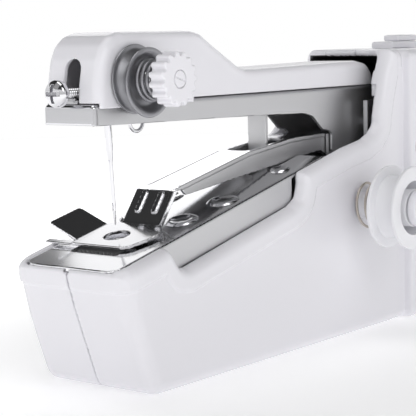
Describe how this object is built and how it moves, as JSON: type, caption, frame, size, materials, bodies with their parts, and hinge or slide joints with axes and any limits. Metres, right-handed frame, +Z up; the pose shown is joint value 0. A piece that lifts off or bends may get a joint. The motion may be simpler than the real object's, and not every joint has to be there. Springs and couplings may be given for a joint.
{
  "type": "handheld sewing machine",
  "caption": "Handheld battery sewing machine shaped like a stapler: rocking needle arm, presser foot, sloping needle plate, side bobbin, hand wheel and rear cell housing.",
  "frame": {"origin": "on the resting plane, directly under the needle, on the plane where the two body shells meet", "axes": "+X from the nose to the rear of the machine, +Y towards the hand wheel side, +Z up"},
  "size_m": [0.2102, 0.0611, 0.0767],
  "materials": {
    "white_plastic": "glossy white moulding",
    "bobbin_plastic": "translucent white plastic",
    "polished_plate": "polished nickel plate",
    "brushed_steel": "brushed sheet steel",
    "bright_steel": "bright nickel plate",
    "dark_spring": "dark spring wire",
    "plain_steel": "ground steel",
    "screw_steel": "plated screw steel",
    "motor_can": "zinc plated can",
    "gear_nylon": "natural nylon",
    "pinion_brass": "turned brass",
    "tray_plastic": "pale grey moulding",
    "cell_wrap": "plain printed wrap",
    "contact_plate": "nickel plated contact",
    "black_plastic": "black moulding"
  },
  "bodies": {
    "machine": {"near_shell": "white_plastic", "far_shell": "white_plastic", "needle_plate": "polished_plate", "plate_bosses": "polished_plate", "foot_bracket": "brushed_steel", "foot_pin": "plain_steel", "foot_spring": "dark_spring", "gear_frame": "brushed_steel", "arm_pivot_shaft": "plain_steel", "idler_shaft": "plain_steel", "motor": "motor_can", "looper_bracket": "brushed_steel", "bobbin_spindle": "bobbin_plastic", "spindle_spring": "bright_steel", "spindle_cap": "white_plastic", "battery_tray": "tray_plastic", "batteries": "cell_wrap", "battery_contacts": "contact_plate", "power_inlet": "black_plastic", "switch_pad": "white_plastic", "switch_body": "black_plastic", "shell_screws": "screw_steel"},
    "arm": {"arm_channel": "brushed_steel", "arm_cover": "white_plastic", "needle_clamp": "brushed_steel", "needle": "bright_steel", "tension_stud": "bright_steel", "rear_tension_disc": "polished_plate", "front_tension_disc": "polished_plate", "tension_spring": "dark_spring", "thread_guide": "bright_steel", "drive_strap": "brushed_steel", "tail_pin": "plain_steel"},
    "clamp_screw": {"clamp_screw": "bright_steel"},
    "tension_knob": {"tension_knob": "white_plastic"},
    "connecting_rod": {"connecting_rod": "brushed_steel"},
    "presser_foot": {"presser_foot": "polished_plate"},
    "feed_dog": {"feed_dog": "brushed_steel"},
    "looper": {"looper_shaft": "plain_steel", "looper_hook": "brushed_steel"},
    "drive": {"crank_shaft": "plain_steel", "crank_gear": "gear_nylon", "hand_wheel": "white_plastic"},
    "idler_gear": {"idler_gear": "gear_nylon"},
    "motor_pinion": {"motor_pinion": "pinion_brass"},
    "bobbin": {"bobbin": "bobbin_plastic"},
    "power_button": {"power_button": "white_plastic"},
    "battery_cover": {"battery_cover": "white_plastic"}
  },
  "joints": [
    {"name": "arm_rock", "type": "hinge", "parent": "machine", "child": "arm", "pos_m": [0.092, 0, 0.052], "axis": [0, -1, 0], "range_deg": [0, 8]},
    {"name": "rod_swing", "type": "hinge", "parent": "arm", "child": "connecting_rod", "pos_m": [0.114, 0, 0.052], "axis": [0, -1, 0], "range_deg": [-9, 1]},
    {"name": "clamp_turn", "type": "hinge", "parent": "arm", "child": "clamp_screw", "pos_m": [-0.01, 0, 0.0642], "axis": [1, 0, 0], "range_deg": [0, 720]},
    {"name": "knob_turn", "type": "hinge", "parent": "arm", "child": "tension_knob", "pos_m": [-0.0015, -0.0188, 0.0667], "axis": [0, -1, 0], "range_deg": [-360, 720]},
    {"name": "foot_lift", "type": "hinge", "parent": "machine", "child": "presser_foot", "pos_m": [0.0795, 0, 0.0468], "axis": [0, 1, 0], "range_deg": [0, 4], "stiffness_Nm_per_rad": 0.6, "springref_deg": -5.73},
    {"name": "feed_slide", "type": "slide", "parent": "machine", "child": "feed_dog", "axis": [0.9744, 0, 0.225], "range_m": [0, 0.0023]},
    {"name": "looper_swing", "type": "hinge", "parent": "machine", "child": "looper", "pos_m": [0.03, 0, 0.014], "axis": [-1, 0, 0], "range_deg": [0, 21]},
    {"name": "drive_spin", "type": "hinge", "parent": "machine", "child": "drive", "pos_m": [0.114, 0, 0.026], "axis": [0, 1, 0], "continuous": true},
    {"name": "idler_spin", "type": "hinge", "parent": "machine", "child": "idler_gear", "pos_m": [0.09679, 0, 0.022], "axis": [0, 1, 0], "continuous": true},
    {"name": "pinion_spin", "type": "hinge", "parent": "machine", "child": "motor_pinion", "pos_m": [0.08442, 0, 0.018], "axis": [0, 1, 0], "continuous": true},
    {"name": "bobbin_spin", "type": "hinge", "parent": "machine", "child": "bobbin", "pos_m": [0.0736, -0.0282, 0.0326], "axis": [0, -1, 0], "continuous": true},
    {"name": "button_slide", "type": "slide", "parent": "machine", "child": "power_button", "axis": [1, 0, 0], "range_m": [0, 0.004]},
    {"name": "cover_slide", "type": "slide", "parent": "machine", "child": "battery_cover", "axis": [1, 0, 0], "range_m": [0, 0.02]}
  ],
  "couplings": [
    {"joint": "rod_swing", "follows": "arm_rock", "ratio": -1},
    {"joint": "feed_slide", "follows": "arm_rock", "m_per_rad": 0.015756},
    {"joint": "looper_swing", "follows": "arm_rock", "ratio": 2.5},
    {"joint": "idler_spin", "follows": "drive_spin", "ratio": -3.8889},
    {"joint": "pinion_spin", "follows": "drive_spin", "ratio": 11.667}
  ]
}
